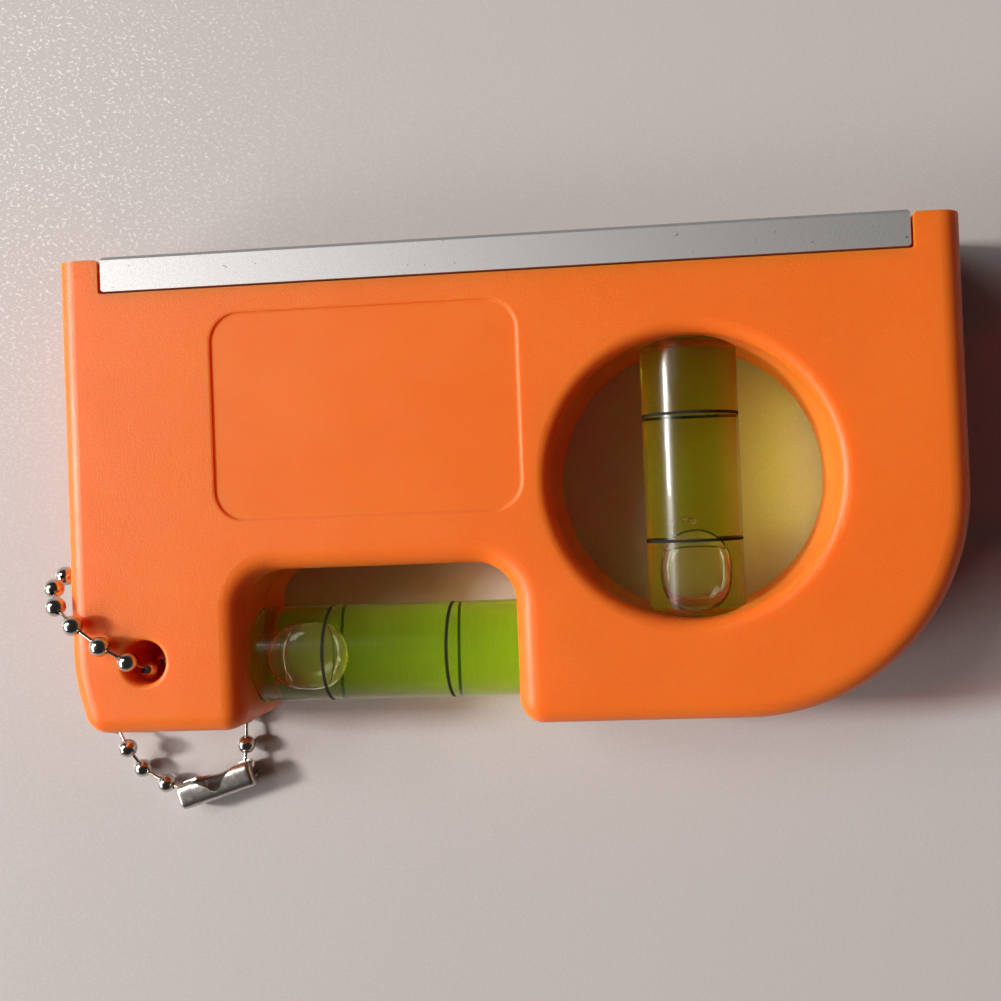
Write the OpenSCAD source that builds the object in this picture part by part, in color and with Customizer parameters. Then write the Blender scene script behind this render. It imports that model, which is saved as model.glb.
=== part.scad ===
// Keychain level lying on its back: an orange two-shell body with a metal base strip in its top edge,
// a vial across an open notch, a vial in a round window, and a ball chain through a hole in the foot.
// Millimetres. X runs along the base strip, Y across the body towards it, Z out of the front face.
// The origin is the middle of the flat back.

/* [Body] */
// Length of the body along the base strip
body_w = 89.2; // [85:0.1:110]
// Height of the body from its lower edge to the top of its horns
body_h = 47.5; // [46:0.5:60]
// Thickness of the body, front face to back face
body_t = 15; // [14:0.5:20]
// Thickness of the shells' walls
wall = 2; // [1.6:0.1:2.4]
// Rounding of the body's long outer edges
edge_r = 2.2; // [1:0.1:2.2]
// Rounding of the foot's outer lower corner
foot_r = 2.4; // [2.4:0.1:4]
// Rounding of the two lower corners beside the notch
heel_r = 2.4; // [2.4:0.1:4]
// Radius of the large lower corner
sweep_r = 21.7; // [12:0.1:24]
// Radius of the long curve that leads the foot's outer side in towards that corner
lean_r = 20; // [15:1:40]
// Height of that curve
lean_h = 5.6; // [4:0.1:7]
// Length of the straight run between that curve and the corner
lean_run = 1.25; // [0.5:0.05:2]
// Height of the fine groove that each shell has along the joint
seam_h = 0.12; // [0.08:0.01:0.2]
// Depth of that groove
seam_depth = 0.15; // [0.1:0.01:0.18]
// Diameter of the pegs that join the shells
peg_d = 2.4; // [1.6:0.1:2.8]
// Length of the pegs past the joint between the shells
peg_len = 3; // [2:0.1:4]
// Wall round each peg's socket
peg_wall = 1.2; // [0.8:0.1:1.6]
// Distance of the corner pegs from the body's sides
peg_inset = 4; // [3.6:0.1:6]
// Play between each peg and its socket
peg_play = 0.08; // [0.04:0.01:0.15]

/* [Base strip] */
// Depth of the slot that the strip sits in
slot_depth = 3.45; // [2:0.05:5]
// Width of each horn beside the slot
horn_w = 4.6; // [3.5:0.1:6]
// Rounding in the slot's inner corners
slot_r = 0.3; // [0.1:0.1:0.3]
// Rounding of the horns' top corners
horn_r = 0.4; // [0.2:0.1:0.8]
// How far the strip stands above the horns
strip_proud = 0.3; // [0.1:0.1:1]
// Play between the strip and each horn
strip_play = 0.25; // [0.1:0.05:0.5]
// Gap between the strip and the slot's floor
strip_gap = 0.25; // [0.1:0.05:0.5]
// Rounding of the strip's corners, seen from the front
strip_r = 0.3; // [0.3:0.1:1]
// How far the strip's faces lie inside the body's faces
strip_inset = 0.15; // [0:0.05:0.5]
// Bevel along the strip's working face
strip_bevel = 0.35; // [0.1:0.05:0.5]
// Distance of the strip's tongue from the slot's ends
tongue_end = 4; // [3.5:0.5:10]
// Width of the tongue's neck
neck_w = 4; // [3:0.5:6]
// Width of the tongue's head
head_w = 7; // [5.6:0.2:9]
// Thickness of the tongue's head
head_h = 1.4; // [1:0.1:1.8]
// Play round the tongue
tongue_play = 0.1; // [0.05:0.05:0.2]

/* [Label recess] */
// Width of the recess
recess_w = 30.7; // [20:0.1:32]
// Height of the recess
recess_h = 20.6; // [14:0.1:22]
// Distance of the recess from the body's outer side
recess_x = 15.9; // [10:0.1:17]
// Height of the recess above the body's lower edge
recess_y = 20.9; // [19:0.1:22]
// Rounding of the recess's corners
recess_r = 3; // [1:0.1:5]
// Depth of the recess
recess_depth = 0.15; // [0.1:0.05:0.8]

/* [Notch] */
// Width of the notch
notch_w = 27.3; // [24:0.1:28]
// Width of the foot beside the notch
foot_w = 18; // [16:0.1:20]
// Height of the notch above the body's lower edge
notch_h = 15.9; // [15:0.1:17]
// Rounding of the notch's inner corners
notch_r = 4; // [2:0.1:5]

/* [Window] */
// Bore of the window in the front shell
window_d = 27.6; // [24:0.1:28]
// Bore of the window in the back shell
back_window_d = 27.6; // [24:0.1:28]
// Distance of the window's middle from the body's far side
window_x = 26.2; // [25:0.1:27]
// Height of the window's middle above the body's lower edge
window_y = 23.5; // [22.5:0.1:25]
// Rounding of the window's rims
window_edge_r = 1.3; // [0.4:0.1:1.4]

/* [Keychain hole] */
// Diameter of the hole
hole_d = 4.4; // [4.2:0.1:5]
// Distance of the hole from the body's outer side
hole_x = 8; // [7:0.1:9]
// Height of the hole above the body's lower edge
hole_y = 7.2; // [6:0.1:9]
// Rounding of the hole's rims
hole_edge_r = 0.5; // [0.2:0.1:0.8]
// Wall round the hole
hole_wall = 1.8; // [1.2:0.1:2.4]
// Width of the chain's groove in the back of the foot
groove_w = 3.2; // [2.4:0.1:4]
// Depth of that groove
groove_depth = 2.4; // [2.2:0.1:3]
// Wall beside the groove
groove_wall = 1.5; // [1:0.1:2]
// Direction of the groove from the hole
groove_angle = -57; // [-65:0.5:-45]

/* [Vials] */
// Outer diameter of each vial
vial_d = 9.8; // [9:0.1:10]
// Length of each vial
vial_len = 31; // [30:0.1:32]
// Bore at the middle of each vial
bore_d = 7.8; // [7.4:0.1:8]
// Bore at the ends of each vial, narrower so that the bubble seeks the middle
bore_end_d = 7.3; // [7.2:0.05:7.4]
// Thickness of each vial's closed end
vial_end = 1.4; // [1:0.1:2]
// Length of the plug in each vial's open end
plug_len = 1.4; // [1:0.1:2]
// Diameter of the plug
plug_d = 7; // [6:0.1:7.2]
// Height of the notch vial's axis above the body's lower edge
vial_y = 6.85; // [6.6:0.05:7.5]
// Distance between the two lines round each vial
ring_gap = 12.6; // [10:0.1:16]
// Width of each line
ring_w = 0.3; // [0.2:0.1:0.8]
// Depth of each line's groove
ring_depth = 0.1; // [0.05:0.01:0.15]
// Wall of the body beyond each vial's end
socket_end = 1.2; // [0.8:0.1:1.6]
// Wall of the body beside each vial's end
socket_wall = 1.2; // [0.8:0.1:1.6]
// Play round each vial in its socket
vial_play = 0.06; // [0.03:0.01:0.1]
// Gap between the liquid or the plug and the vial's bore
liquid_gap = 0.02; // [0.01:0.01:0.03]

/* [Bubbles] */
// Length of each bubble
bubble_len = 8.4; // [7:0.1:10]
// Thickness of each bubble
bubble_d = 6.2; // [5:0.1:6.4]
// How far each bubble floats above its vial's axis
bubble_float = 0.35; // [0.2:0.01:0.4]
// Gap between the notch vial's bubble and the end of the bore that it rests at
notch_bubble_gap = 1.5; // [0.2:0.1:2]
// The same gap in the window vial
window_bubble_gap = 0.5; // [0.2:0.1:2]

/* [Ball chain] */
// Diameter of the balls
ball_d = 2; // [1.9:0.02:2.04]
// Thickness of the balls' metal
ball_wall = 0.2; // [0.15:0.01:0.24]
// Diameter of the holes in the balls
ball_hole_d = 0.54; // [0.5:0.01:0.58]
// Diameter of the pins that join the balls
pin_d = 0.4; // [0.3:0.01:0.44]
// Diameter of the pins' heads
pin_head_d = 0.68; // [0.62:0.01:0.7]
// Distance of each pin's head from the middle of its ball
pin_head_in = 0.5; // [0.46:0.01:0.5]
// Thickness of the connector's metal
sheet = 0.25; // [0.2:0.01:0.3]
// Outer diameter of the connector
connector_d = 3.2; // [2.8:0.05:3.3]
// Play of the end balls along the connector
connector_play = 0.12; // [0.08:0.01:0.15]
// Width of the slit along the connector
slit_w = 1; // [0.7:0.05:1.2]
// Length of the wide opening in the connector's middle
mouth_len = 4; // [2:0.1:4.4]
// Width of that opening
mouth_w = 2; // [1.4:0.1:2.2]
// Turn of that opening upwards from the slit
mouth_tilt = 35; // [0:1:40]

/* [Hidden] */
$fn = 64;
// Reach of cutting shapes past the faces that they cut
past = 1;

left = -body_w / 2;
right = body_w / 2;
low = -(body_h + strip_proud) / 2;
horn_top = low + body_h;
slot_y = horn_top - slot_depth;
joint_z = body_t / 2;

notch_left = left + foot_w;
notch_right = notch_left + notch_w;
notch_top = low + notch_h;
window_at = [right - window_x, low + window_y];
hole_at = [left + hole_x, low + hole_y];
notch_vial_at = [(notch_left + notch_right) / 2, low + vial_y, joint_z];
window_vial_at = [window_at.x, window_at.y, joint_z];

// The long curve turns the foot's side by this angle, and ends at this point
lean = asin(lean_h / lean_r);
lean_end = [left + lean_r * (1 - cos(lean)), low + foot_r * (1 - sin(lean)) + lean_run * cos(lean)];

// Corner points of the body's sides with their rounding, anticlockwise from the top of the outer side
function sides(top, top_r = 0) = [
    [left, top, top_r],
    [left, lean_end.y + lean_h - lean_r * tan(lean / 2), lean_r],
    [lean_end.x + (lean_end.y - low) * tan(lean), low, foot_r],
    [notch_left, low, heel_r],
    [notch_left, notch_top, notch_r],
    [notch_right, notch_top, notch_r],
    [notch_right, low, heel_r],
    [right, low, sweep_r],
    [right, top, top_r],
];
outline = concat(sides(horn_top, horn_r), [
    [right - horn_w, horn_top, horn_r],
    [right - horn_w, slot_y, slot_r],
    [left + horn_w, slot_y, slot_r],
    [left + horn_w, horn_top, horn_r],
]);
last_side = len(sides(horn_top)) - 1;

// The pegs stand near the corners, one of them between the notch and the sweep
peg_r = peg_d / 2 + peg_wall;
peg_places = [
    [left + peg_inset, slot_y - wall - peg_inset + peg_r],
    [left + peg_inset, notch_top + peg_r],
    [right - peg_inset, slot_y - wall - peg_inset + peg_r],
    [right - peg_inset, low + sweep_r - 2 * peg_r],
    [notch_right + peg_inset, low + peg_inset],
];

bore_from = -vial_len / 2 + vial_end;
bore_to = vial_len / 2 - plug_len;

ball_r = ball_d / 2;

// Middles of the balls in order, from one end in the connector, round the outer side of the foot, over
// the front, down through the hole, along the groove and back to the connector
chain_route = [
    [-37.6, -32.7, 1.7], [-40.85, -31.7, 1.3], [-43.6, -30, 1.1], [-44.55, -27.5, 2.6],
    [-46.3, -25.1, 1.5], [-47.3, -22.1, 1.1], [-48.1, -19, 1.1], [-48.6, -15.8, 1.1],
    [-48.9, -12.6, 1.3], [-48.75, -9.9, 3.1], [-48.1, -8.3, 6], [-47.4, -8.05, 9.3],
    [-46.9, -9.15, 12.5], [-45.5, -10.85, 14.9], [-43.1, -12.7, 16.2], [-40.45, -14.85, 16.1],
    [-37.9, -16.5, 15.6], [-37.1, -17.7, 12.7], [-36.7, -17, 9.5], [-36.6, -16.7, 6.2],
    [-36.5, -16.8, 3.1], [-35, -18.95, 1.2], [-33.3, -21.7, 1.1], [-31.6, -24.4, 1.1],
    [-31.6, -27.6, 1.3], [-31.9, -30.9, 1.7],
];
ball_count = len(chain_route);
connector_axis = chain_route[ball_count - 1] - chain_route[0];
connector_len = norm(connector_axis) + 2 * (ball_r + connector_play + sheet);

function ball_name(i) = str("chain_ball_", i < 9 ? "0" : "", i + 1);

orange = "#F0692A";
metal = "#B9BBB8";
clear = [0.85, 0.95, 0.8, 0.35];
fluid = [0.62, 0.8, 0.1, 0.7];
air = [0.95, 0.97, 0.95, 0.6];
black = "#141414";
nickel = "#8D8A84";

// Corners of rounded outlines

function flat(p) = [p.x, p.y];
function unit(v) = v / norm(v);
function to_left(v) = [-v.y, v.x];
function near(path, i) = path[(i + len(path)) % len(path)];
function along(path, i) = unit(flat(near(path, i + 1)) - flat(near(path, i)));
function turn(path, i) =
    let (u = along(path, i - 1), v = along(path, i))
    atan2(u.x * v.y - u.y * v.x, u * v);
function setback(path, i) = near(path, i).z * tan(abs(turn(path, i)) / 2);
function arc_start(path, i) = flat(near(path, i)) - along(path, i - 1) * setback(path, i);
function arc_end(path, i) = flat(near(path, i)) + along(path, i) * setback(path, i);
function arc_middle(path, i) =
    arc_start(path, i) + sign(turn(path, i)) * near(path, i).z * to_left(along(path, i - 1));
function heading(v) = atan2(v.y, v.x);

// The same outline with its edges moved in by a distance
function inset(path, d) = [
    for (i = [0 : len(path) - 1])
        let (
            m = to_left(along(path, i - 1)),
            n = to_left(along(path, i)),
            r = path[i].z,
            p = flat(path[i]) + (m + n) * d / (1 + m * n)
        )
        [p.x, p.y, r == 0 ? 0 : max(r - sign(turn(path, i)) * d, 0)]
];

// What the rounding of an outward corner takes away
module corner_cut(path, i) {
    middle = arc_middle(path, i);
    tip = flat(path[i]);
    difference() {
        polygon([arc_start(path, i), tip + unit(tip - middle) * past, arc_end(path, i), middle]);
        translate(middle) circle(path[i].z);
    }
}

// The outline before its corners are rounded, through the points where each rounding starts and ends.
// Inward corners start as chamfers, which a circle then hollows out.
function blank(path) = [
    for (i = [0 : len(path) - 1])
        each path[i].z == 0 ? [flat(path[i])]
            : turn(path, i) < 0 ? [arc_start(path, i), arc_end(path, i)]
            : [arc_start(path, i), flat(path[i]), arc_end(path, i)]
];

module rounded(path) {
    difference() {
        polygon(blank(path));
        for (i = [0 : len(path) - 1])
            if (path[i].z > 0) {
                if (turn(path, i) > 0) corner_cut(path, i);
                else translate(arc_middle(path, i)) circle(path[i].z);
            }
    }
}

module rounded_rectangle(size, r) {
    rounded([[0, 0, r], [size.x, 0, r], [size.x, size.y, r], [0, size.y, r]]);
}

// Edge roundings, cut from a top face at height zero

module edge_profile(r) {
    difference() {
        translate([-past, -r]) square([r + past, r + past]);
        translate([r, -r]) circle(r);
    }
}

module straight_edge_cut(from, to, r) {
    translate([from.x, from.y, 0])
        rotate([90, 0, 90 + heading(to - from)])
            linear_extrude(norm(to - from)) edge_profile(r);
}

// A ring of the edge profile, of which the corner keeps its own sector
module arc_edge_cut(path, i, r) {
    outward = turn(path, i) > 0;
    middle = arc_middle(path, i);
    reach = [for (p = [arc_start(path, i), arc_end(path, i)]) 2 * (p - middle)];
    away = 90 * round(heading(-reach[0] - reach[1]) / 90);
    translate([middle.x, middle.y, 0])
        intersection() {
            rotate(away)
                rotate_extrude()
                    translate([path[i].z, 0]) mirror([outward ? 1 : 0, 0]) edge_profile(r);
            translate([0, 0, -r - past])
                linear_extrude(r + 3 * past)
                    polygon([[0, 0], reach[0], reach[0] + reach[1], reach[1]]);
        }
}

module round_rim_cut(at, d, r) {
    translate([at.x, at.y, 0])
        rotate_extrude() translate([d / 2, 0]) edge_profile(r);
}

// The outer edges from the top of one horn, round the bottom, to the top of the other
module outer_edge_cut() {
    for (i = [0 : last_side - 1]) {
        run = along(outline, i) * past;
        from = arc_end(outline, i) - (i == 0 ? run : [0, 0]);
        to = arc_start(outline, i + 1) + (i == last_side - 1 ? run : [0, 0]);
        straight_edge_cut(from, to, edge_r);
    }
    for (i = [1 : last_side - 1]) arc_edge_cut(outline, i, edge_r);
}

// Shapes that both shells share

module slab(from, to) {
    translate([0, 0, from]) linear_extrude(to - from) children();
}

module vial_sockets_plan() {
    reach = vial_d / 2 + socket_wall;
    for (at = [notch_vial_at, window_vial_at]) {
        upright = at == window_vial_at;
        length = vial_len + 2 * socket_end;
        size = upright ? [2 * reach, length] : [length, 2 * reach];
        translate([at.x, at.y]) square(size, center = true);
    }
}

module peg_posts_plan() {
    for (at = peg_places) translate(at) circle(peg_r);
}

module hollow_plan(tube_d) {
    difference() {
        rounded(inset(sides(slot_y), wall));
        translate(window_at) circle(tube_d / 2 + wall);
        translate(hole_at) circle(hole_d / 2 + hole_wall);
        vial_sockets_plan();
        peg_posts_plan();
        children();
    }
}

module groove_plan(w) {
    translate(hole_at) rotate(groove_angle) translate([0, -w / 2]) square([body_h, w]);
}

module vial_bays() {
    for (at = [notch_vial_at, window_vial_at])
        vial_place(at) cylinder(h = vial_len, r = vial_d / 2 + vial_play, center = true);
}

module tongue_slot() {
    length = body_w - 2 * (horn_w + tongue_end) + 2 * tongue_play;
    width = neck_w + 2 * tongue_play;
    translate([-length / 2, slot_y - wall - past, joint_z - width / 2])
        cube([length, wall + 2 * past, width]);
}

// One shell before it is hollowed, from its joint face to its outer face, stepped in along the joint
module shell_blank(joint, face) {
    step = joint + sign(face - joint) * seam_h;
    slab(min(step, face), max(step, face)) rounded(outline);
    slab(min(step, joint), max(step, joint)) rounded(inset(outline, seam_depth));
}

module front_shell() {
    color(orange) {
        difference() {
            shell_blank(joint_z, body_t);
            slab(joint_z - past, body_t - wall) hollow_plan(window_d);
            slab(joint_z - past, body_t + past) translate(window_at) circle(window_d / 2);
            slab(joint_z - past, body_t + past) translate(hole_at) circle(hole_d / 2);
            slab(body_t - recess_depth, body_t + past)
                translate([left + recess_x, low + recess_y])
                    rounded_rectangle([recess_w, recess_h], recess_r);
            vial_bays();
            tongue_slot();
            translate([0, 0, body_t]) {
                outer_edge_cut();
                round_rim_cut(window_at, window_d, window_edge_r);
                round_rim_cut(hole_at, hole_d, hole_edge_r);
            }
        }
        slab(joint_z - peg_len, joint_z + wall)
            for (at = peg_places) translate(at) circle(peg_d / 2);
    }
}

module back_shell() {
    color(orange)
        difference() {
            shell_blank(joint_z, 0);
            slab(wall, joint_z + past)
                hollow_plan(back_window_d) groove_plan(groove_w + 2 * groove_wall);
            slab(-past, joint_z + past) translate(window_at) circle(back_window_d / 2);
            slab(-past, joint_z + past) translate(hole_at) circle(hole_d / 2);
            slab(-past, groove_depth) groove_plan(groove_w);
            slab(joint_z - peg_len - peg_play, joint_z + past)
                for (at = peg_places) translate(at) circle(peg_d / 2 + peg_play);
            vial_bays();
            tongue_slot();
            mirror([0, 0, 1]) {
                outer_edge_cut();
                round_rim_cut(window_at, back_window_d, window_edge_r);
                round_rim_cut(hole_at, hole_d, hole_edge_r);
            }
        }
}

// Base strip, drawn as a section across the body and run along it

module strip_section() {
    bottom = slot_y + strip_gap;
    top = horn_top + strip_proud;
    half = joint_z - strip_inset;
    polygon([
        [bottom, -half], [top - strip_bevel, -half], [top, strip_bevel - half],
        [top, half - strip_bevel], [top - strip_bevel, half], [bottom, half],
    ]);
}

module tongue_section() {
    head_top = slot_y - wall - tongue_play;
    translate([head_top, -neck_w / 2]) square([slot_y - head_top + 2 * strip_gap, neck_w]);
    translate([head_top - head_h, -head_w / 2]) square([head_h, head_w]);
}

module run_along(length) {
    translate([-length / 2, 0, joint_z]) rotate([90, 0, 90]) linear_extrude(length) children();
}

module base_strip() {
    slot_w = body_w - 2 * horn_w;
    strip_w = slot_w - 2 * strip_play;
    color(metal) {
        intersection() {
            run_along(strip_w) strip_section();
            slab(-past, body_t + past)
                translate([-strip_w / 2, slot_y + strip_gap])
                    rounded_rectangle([strip_w, slot_depth + strip_proud - strip_gap], strip_r);
        }
        run_along(slot_w - 2 * tongue_end) tongue_section();
    }
}

// Vials, drawn round Z with the closed end down

module vial_place(at) {
    translate(at) rotate(at == window_vial_at ? [-90, 0, 0] : [0, 90, 0]) children();
}

module bore(gap) {
    half = (bore_to - bore_from) / 2 - gap;
    middle_r = bore_d / 2 - gap;
    end_r = bore_end_d / 2 - gap;
    translate([0, 0, (bore_from + bore_to) / 2]) {
        cylinder(h = half, r1 = middle_r, r2 = end_r);
        mirror([0, 0, 1]) cylinder(h = half, r1 = middle_r, r2 = end_r);
    }
}

module ring_bands() {
    for (side = [-1, 1])
        translate([0, 0, side * ring_gap / 2])
            rotate_extrude()
                translate([vial_d / 2 - ring_depth, -ring_w / 2]) square([ring_depth, ring_w]);
}

module vial_tube(at) {
    color(clear)
        vial_place(at)
            difference() {
                cylinder(h = vial_len, r = vial_d / 2, center = true);
                bore(0);
                translate([0, 0, bore_to - past]) cylinder(h = plug_len + 2 * past, r = plug_d / 2);
                ring_bands();
            }
}

module vial_plug(at) {
    color(clear)
        vial_place(at)
            translate([0, 0, bore_to]) cylinder(h = plug_len, r = plug_d / 2 - liquid_gap);
}

module vial_rings(at) {
    color(black) vial_place(at) ring_bands();
}

module bubble_solid(at) {
    r = bubble_d / 2;
    half = bubble_len / 2 - r;
    gap = at == window_vial_at ? window_bubble_gap : notch_bubble_gap;
    middle = bore_from + gap + bubble_len / 2;
    translate([0, 0, bubble_float]) vial_place(at) {
        for (side = [-1, 1]) translate([0, 0, middle + side * half]) sphere(r);
        translate([0, 0, middle - half]) cylinder(h = 2 * half, r = r);
    }
}

module vial_bubble(at) {
    color(air) bubble_solid(at);
}

module vial_liquid(at) {
    color(fluid)
        difference() {
            vial_place(at) bore(liquid_gap);
            bubble_solid(at);
        }
}

// Ball chain

module pointing(v) {
    rotate([0, acos(v.z / norm(v)), heading(v)]) children();
}

module chain_ball(i) {
    neighbours = [for (j = [i - 1, i + 1]) if (j >= 0 && j < ball_count) j];
    run = chain_route[max(i, max(neighbours))] - chain_route[min(i, min(neighbours))];
    color(nickel)
        translate(chain_route[i])
            difference() {
                pointing(run) rotate([90, 0, 0]) sphere(ball_r);
                pointing(run) rotate([90, 0, 0]) sphere(ball_r - ball_wall);
                for (j = neighbours)
                    pointing(chain_route[j] - chain_route[i])
                        cylinder(h = ball_d, r = ball_hole_d / 2);
            }
}

module chain_pins() {
    color(nickel)
        for (i = [0 : ball_count - 2]) {
            span = chain_route[i + 1] - chain_route[i];
            length = norm(span);
            translate(chain_route[i]) pointing(span) {
                translate([0, 0, pin_head_in]) cylinder(h = length - 2 * pin_head_in, r = pin_d / 2);
                for (z = [pin_head_in, length - pin_head_in])
                    translate([0, 0, z]) sphere(pin_head_d / 2);
            }
        }
}

// The connector is a rolled tube with closed ends, a slit for the pins and a mouth for the end balls
module chain_connector() {
    r = connector_d / 2;
    space = connector_len - 2 * sheet;
    color(nickel)
        translate((chain_route[0] + chain_route[ball_count - 1]) / 2)
            rotate([0, 0, heading(connector_axis)])
                difference() {
                    rotate([0, 90, 0]) cylinder(h = connector_len, r = r, center = true);
                    rotate([0, 90, 0]) cylinder(h = space, r = r - sheet, center = true);
                    translate([-connector_len / 2 - past, 0, -slit_w / 2])
                        cube([connector_len + 2 * past, r + past, slit_w]);
                    rotate([mouth_tilt, 0, 0])
                        translate([-mouth_len / 2, 0, -mouth_w / 2]) cube([mouth_len, r + past, mouth_w]);
                }
}

front_shell();
back_shell();
base_strip();
vial_tube(notch_vial_at);  // notch_vial_tube
vial_plug(notch_vial_at);  // notch_vial_plug
vial_rings(notch_vial_at);  // notch_vial_rings
vial_liquid(notch_vial_at);  // notch_vial_liquid
vial_bubble(notch_vial_at);  // notch_vial_bubble
vial_tube(window_vial_at);  // window_vial_tube
vial_plug(window_vial_at);  // window_vial_plug
vial_rings(window_vial_at);  // window_vial_rings
vial_liquid(window_vial_at);  // window_vial_liquid
vial_bubble(window_vial_at);  // window_vial_bubble
for (i = [0 : ball_count - 1])
    chain_ball(i);
chain_pins();
chain_connector();
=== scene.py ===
"""Looks of a keychain level: an orange body with a metal base strip, two vials and a ball chain.

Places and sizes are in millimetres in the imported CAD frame: X runs along the base strip, Y across the body
towards the strip and Z out of the front face. Meshes and lamps are made in metres.
"""

from __future__ import annotations

import logging
import math
from dataclasses import dataclass, field
from enum import Enum

import bmesh
import bpy
from mathutils import Matrix, Vector

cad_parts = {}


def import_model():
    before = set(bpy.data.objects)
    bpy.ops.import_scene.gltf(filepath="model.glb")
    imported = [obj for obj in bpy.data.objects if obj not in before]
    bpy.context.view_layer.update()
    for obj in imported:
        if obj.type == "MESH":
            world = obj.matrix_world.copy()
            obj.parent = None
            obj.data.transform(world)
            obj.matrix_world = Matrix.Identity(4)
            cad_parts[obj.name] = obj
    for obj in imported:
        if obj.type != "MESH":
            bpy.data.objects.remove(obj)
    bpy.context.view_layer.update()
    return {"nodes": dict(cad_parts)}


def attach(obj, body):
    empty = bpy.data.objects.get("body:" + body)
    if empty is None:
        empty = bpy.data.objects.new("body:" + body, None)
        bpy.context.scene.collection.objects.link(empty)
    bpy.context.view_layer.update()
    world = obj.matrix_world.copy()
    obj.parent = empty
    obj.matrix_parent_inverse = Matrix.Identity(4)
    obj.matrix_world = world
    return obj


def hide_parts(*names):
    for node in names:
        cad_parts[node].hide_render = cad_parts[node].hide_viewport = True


LOG = logging.getLogger("keychain_level")
MM = 0.001
# Angle above which an edge stays sharp
CREASE = math.radians(30)
# Distance in metres below which two points are one
MERGE = 1e-8
# Values between which most of a noise texture lies
NOISE_SPAN = (0.3, 0.7)

Triple = tuple[float, float, float]
Range = tuple[float, float]
Profile = list[tuple[float, float]]
Socket = bpy.types.NodeSocket


class Body(str, Enum):
    """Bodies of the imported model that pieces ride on."""

    LEVEL = "level"
    NOTCH_BUBBLE = "notch_bubble"
    WINDOW_BUBBLE = "window_bubble"


class Slot(str, Enum):
    """Material slots of the record."""

    ACRYLIC = "vial_acrylic"
    LIQUID = "vial_liquid"
    AIR = "bubble_air"
    NICKEL = "chain_nickel"


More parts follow.
